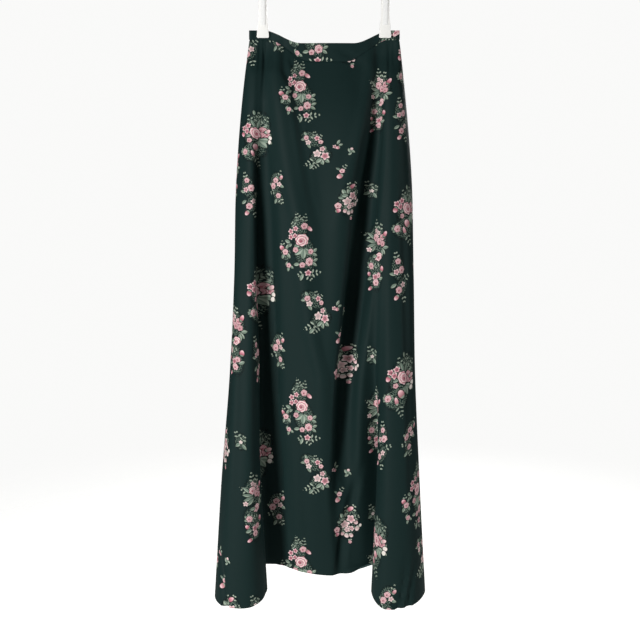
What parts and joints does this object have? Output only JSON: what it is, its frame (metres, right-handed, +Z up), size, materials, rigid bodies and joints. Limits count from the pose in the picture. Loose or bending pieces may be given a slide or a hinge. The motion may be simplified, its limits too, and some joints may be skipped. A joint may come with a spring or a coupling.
{
  "type": "maxi skirt on a clip hanger",
  "caption": "Long flared skirt with a straight waistband, hung by the waist from a plain clip hanger with a fixed hook.",
  "frame": {"origin": "underside of the hook's top, where the hook rests on a rod", "axes": "+Z up, the front of the skirt faces -Y, +X to the right as seen from the front"},
  "size_m": [0.4171, 0.1879, 1.2796],
  "materials": {
    "cloth": "soft satin-backed viscose crepe, dark bottle green with small rose bouquets",
    "plastic": "moulded, light sheen",
    "steel": "spring steel strip in white enamel"
  },
  "bodies": {
    "root": {"front_panel": "cloth", "back_panel": "cloth", "front_waistband": "cloth", "back_waistband": "cloth", "hanger_frame": "plastic", "clip_jaw_left": "plastic", "clip_jaw_right": "plastic", "clip_spring_left": "steel", "clip_spring_right": "steel"}
  },
  "joints": []
}
